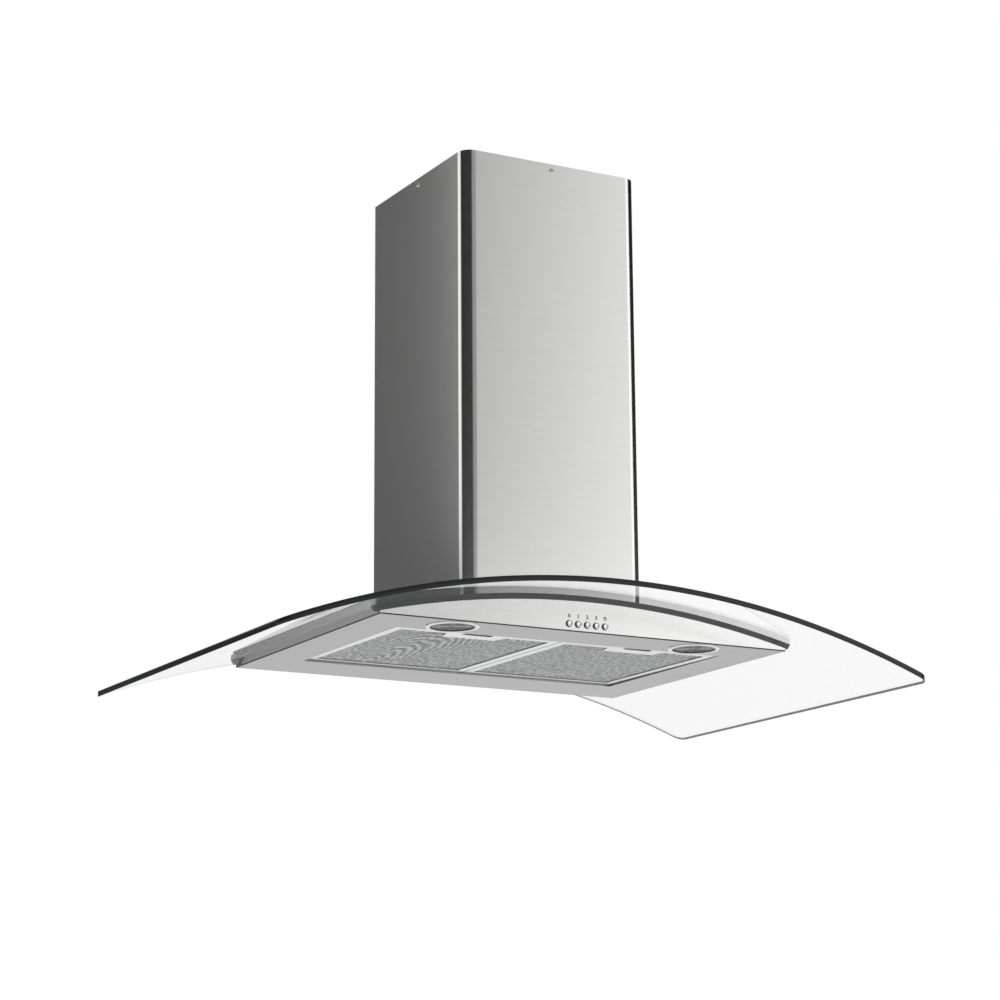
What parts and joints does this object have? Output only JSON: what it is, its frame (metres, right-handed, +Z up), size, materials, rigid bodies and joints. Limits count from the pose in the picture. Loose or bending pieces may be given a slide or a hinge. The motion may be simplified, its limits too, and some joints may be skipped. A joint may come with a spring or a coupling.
{
  "type": "island range hood",
  "caption": "Island range hood with a square steel chimney, a bent clear glass canopy, a thin steel body with lamps and grease filters, push buttons and a blower inside.",
  "frame": {"origin": "centre of the ceiling plate, on its top face, where it meets the ceiling", "axes": "+Z up, +X to the right of someone facing the push buttons, -Y towards that person"},
  "size_m": [0.9, 0.587, 0.673],
  "materials": {
    "stainless": "fine brushed stainless steel, satin",
    "galvanised": "zinc-coated sheet, dull with a faint spangle",
    "fasteners": "bright zinc-plated steel",
    "clear_glass": "clear toughened glass, polished edges",
    "dark_rail": "dark grey, semi-gloss",
    "rubber": "black rubber",
    "black_plastic": "black moulded plastic",
    "grey_plastic": "grey moulded plastic",
    "motor_paint": "black enamel on steel",
    "lamp_chrome": "polished chrome",
    "lamp_glass": "smoked lamp glass",
    "lamp_can": "cast aluminium, bare",
    "filter_aluminium": "bright aluminium",
    "latch_metal": "dark grey moulded catch",
    "button_metal": "polished rim with a dark middle"
  },
  "bodies": {
    "hood": {"air_gasket": "rubber", "blower_box": "galvanised", "blower_screws": "fasteners", "body_top_panel": "stainless", "cable_gland": "grey_plastic", "ceiling_plate": "galvanised", "chimney_cover": "stainless", "chimney_screws": "fasteners", "clamp_bolts": "fasteners", "clamp_frame": "galvanised", "clamp_nuts": "fasteners", "duct_collar": "black_plastic", "flap_pin": "fasteners", "front_fascia": "stainless", "front_glass_rail": "dark_rail", "glass_bushes": "rubber", "glass_canopy": "clear_glass", "lamp_housing_left": "lamp_can", "lamp_housing_right": "lamp_can", "lamp_lens_left": "lamp_glass", "lamp_lens_right": "lamp_glass", "lamp_ring_left": "lamp_chrome", "lamp_ring_right": "lamp_chrome", "motor": "motor_paint", "motor_bracket": "galvanised", "outlet_adapter": "black_plastic", "post_bolts": "fasteners", "rear_fascia": "stainless", "rear_glass_rail": "dark_rail", "scroll_housing_left": "black_plastic", "scroll_housing_right": "black_plastic", "side_panel_left": "stainless", "side_panel_right": "stainless", "stiffener_frame": "galvanised", "support_post_front_left": "galvanised", "support_post_front_right": "galvanised", "support_post_rear_left": "galvanised", "support_post_rear_right": "galvanised", "switch_housing": "black_plastic", "terminal_box": "grey_plastic", "terminal_box_lid": "grey_plastic", "underside_panel": "stainless"},
    "impeller": {"impeller_hub": "grey_plastic", "impeller_blades": "grey_plastic", "impeller_rings": "grey_plastic", "motor_shaft": "fasteners"},
    "flap_front": {"flap_front": "black_plastic"},
    "flap_rear": {"flap_rear": "black_plastic"},
    "filter_left": {"filter_frame_left": "filter_aluminium", "filter_mesh_left": "filter_aluminium"},
    "filter_catch_left": {"filter_latch_left": "latch_metal"},
    "filter_right": {"filter_frame_right": "filter_aluminium", "filter_mesh_right": "filter_aluminium"},
    "filter_catch_right": {"filter_latch_right": "latch_metal"},
    "button_1": {"button_1": "button_metal"},
    "button_2": {"button_2": "button_metal"},
    "button_3": {"button_3": "button_metal"},
    "button_4": {"button_4": "button_metal"},
    "button_5": {"button_5": "button_metal"}
  },
  "joints": [
    {"name": "impeller_spin", "type": "hinge", "parent": "hood", "child": "impeller", "pos_m": [0, -0.01316, -0.44], "axis": [1, 0, 0], "continuous": true},
    {"name": "flap_front_hinge", "type": "hinge", "parent": "hood", "child": "flap_front", "pos_m": [0, 0, -0.1985], "axis": [-1, 0, 0], "range_deg": [0, 75]},
    {"name": "flap_rear_hinge", "type": "hinge", "parent": "hood", "child": "flap_rear", "pos_m": [0, 0, -0.1985], "axis": [1, 0, 0], "range_deg": [0, 75]},
    {"name": "filter_left_tilt", "type": "hinge", "parent": "hood", "child": "filter_left", "pos_m": [-0.11463, 0.1245, -0.6294], "axis": [1, 0, 0], "range_deg": [0, 75]},
    {"name": "filter_catch_left_slide", "type": "slide", "parent": "filter_left", "child": "filter_catch_left", "axis": [0, -1, 0], "range_m": [0, 0.004]},
    {"name": "filter_right_tilt", "type": "hinge", "parent": "hood", "child": "filter_right", "pos_m": [0.11463, 0.1245, -0.6294], "axis": [1, 0, 0], "range_deg": [0, 75]},
    {"name": "filter_catch_right_slide", "type": "slide", "parent": "filter_right", "child": "filter_catch_right", "axis": [0, -1, 0], "range_m": [0, 0.004]},
    {"name": "button_1_press", "type": "slide", "parent": "hood", "child": "button_1", "axis": [0, 1, 0], "range_m": [0, 0.002], "stiffness_N_per_m": 400},
    {"name": "button_2_press", "type": "slide", "parent": "hood", "child": "button_2", "axis": [0, 1, 0], "range_m": [0, 0.002], "stiffness_N_per_m": 400},
    {"name": "button_3_press", "type": "slide", "parent": "hood", "child": "button_3", "axis": [0, 1, 0], "range_m": [0, 0.002], "stiffness_N_per_m": 400},
    {"name": "button_4_press", "type": "slide", "parent": "hood", "child": "button_4", "axis": [0, 1, 0], "range_m": [0, 0.002], "stiffness_N_per_m": 400},
    {"name": "button_5_press", "type": "slide", "parent": "hood", "child": "button_5", "axis": [0, 1, 0], "range_m": [0, 0.002], "stiffness_N_per_m": 400}
  ]
}
